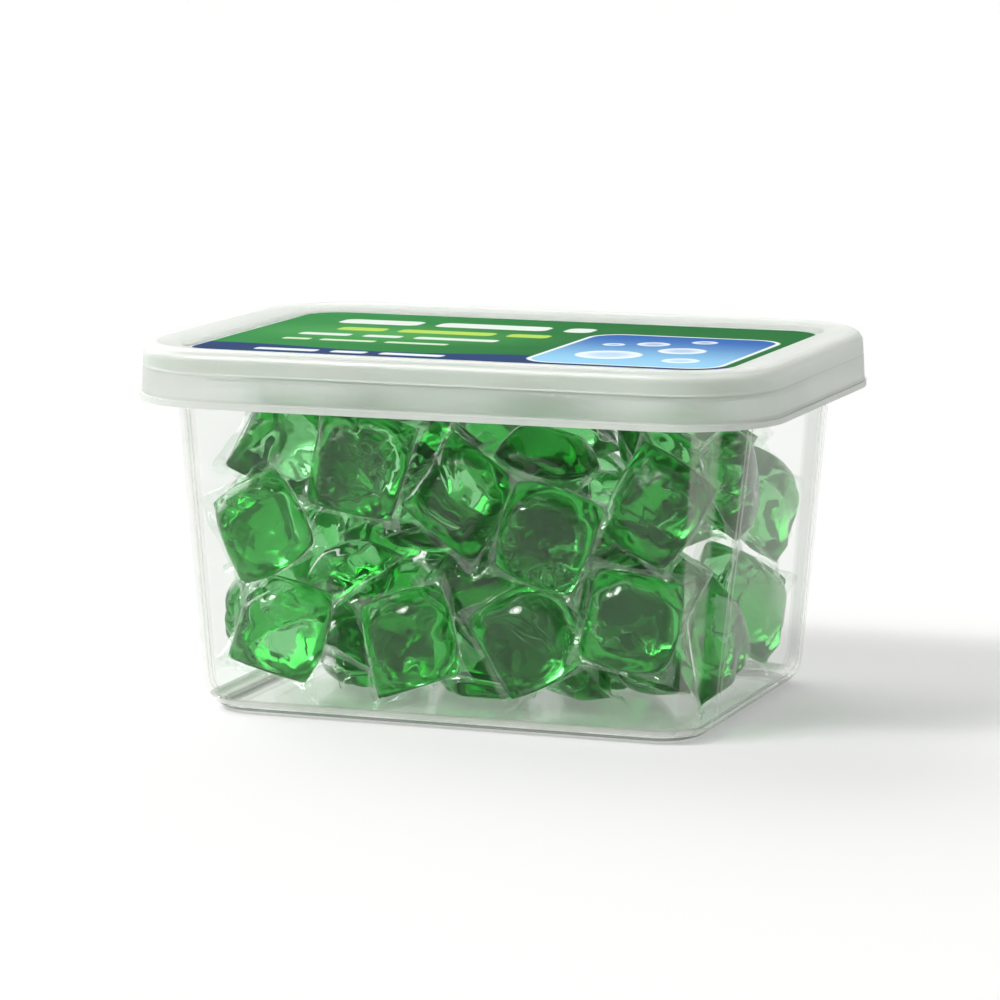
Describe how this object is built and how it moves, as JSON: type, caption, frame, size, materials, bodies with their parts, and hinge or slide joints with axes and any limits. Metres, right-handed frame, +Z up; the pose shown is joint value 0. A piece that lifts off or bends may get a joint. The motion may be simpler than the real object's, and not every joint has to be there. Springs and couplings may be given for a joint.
{
  "type": "capsule pack",
  "caption": "Clear drafted tub with rounded corners and a frosted press-fit lid, label in the lid's recess, filled with green gel deodorizer capsules for drains.",
  "frame": {"origin": "middle of the footprint, on the surface the tub stands on", "axes": "+X along the length to the right, +Y to the back, +Z up; the long front wall looks along -Y"},
  "size_m": [0.18, 0.13, 0.1],
  "materials": {
    "tub_plastic": "clear glossy plastic",
    "lid_plastic": "frosted translucent plastic",
    "label_print": "satin printed film",
    "capsule_gel": "clear film over green gel"
  },
  "bodies": {
    "tub": {"tub": "tub_plastic", "capsule_01": "capsule_gel", "capsule_02": "capsule_gel", "capsule_03": "capsule_gel", "capsule_04": "capsule_gel", "capsule_05": "capsule_gel", "capsule_06": "capsule_gel", "capsule_07": "capsule_gel", "capsule_08": "capsule_gel", "capsule_09": "capsule_gel", "capsule_10": "capsule_gel", "capsule_11": "capsule_gel", "capsule_12": "capsule_gel", "capsule_13": "capsule_gel", "capsule_14": "capsule_gel", "capsule_15": "capsule_gel", "capsule_16": "capsule_gel", "capsule_17": "capsule_gel", "capsule_18": "capsule_gel", "capsule_19": "capsule_gel", "capsule_20": "capsule_gel", "capsule_21": "capsule_gel", "capsule_22": "capsule_gel", "capsule_23": "capsule_gel", "capsule_24": "capsule_gel", "capsule_25": "capsule_gel", "capsule_26": "capsule_gel", "capsule_27": "capsule_gel", "capsule_28": "capsule_gel", "capsule_29": "capsule_gel", "capsule_30": "capsule_gel", "capsule_31": "capsule_gel", "capsule_32": "capsule_gel", "capsule_33": "capsule_gel", "capsule_34": "capsule_gel", "capsule_35": "capsule_gel", "capsule_36": "capsule_gel", "capsule_37": "capsule_gel", "capsule_38": "capsule_gel", "capsule_39": "capsule_gel", "capsule_40": "capsule_gel", "capsule_41": "capsule_gel", "capsule_42": "capsule_gel", "capsule_43": "capsule_gel", "capsule_44": "capsule_gel", "capsule_45": "capsule_gel", "capsule_46": "capsule_gel", "capsule_47": "capsule_gel", "capsule_48": "capsule_gel", "capsule_49": "capsule_gel", "capsule_50": "capsule_gel", "capsule_51": "capsule_gel", "capsule_52": "capsule_gel", "capsule_53": "capsule_gel", "capsule_54": "capsule_gel", "capsule_55": "capsule_gel", "capsule_56": "capsule_gel", "capsule_57": "capsule_gel"},
    "lid": {"lid": "lid_plastic", "label": "label_print"}
  },
  "joints": [
    {"name": "lid_lift", "type": "slide", "parent": "tub", "child": "lid", "axis": [0, 0, 1], "range_m": [0, 0.06]}
  ]
}
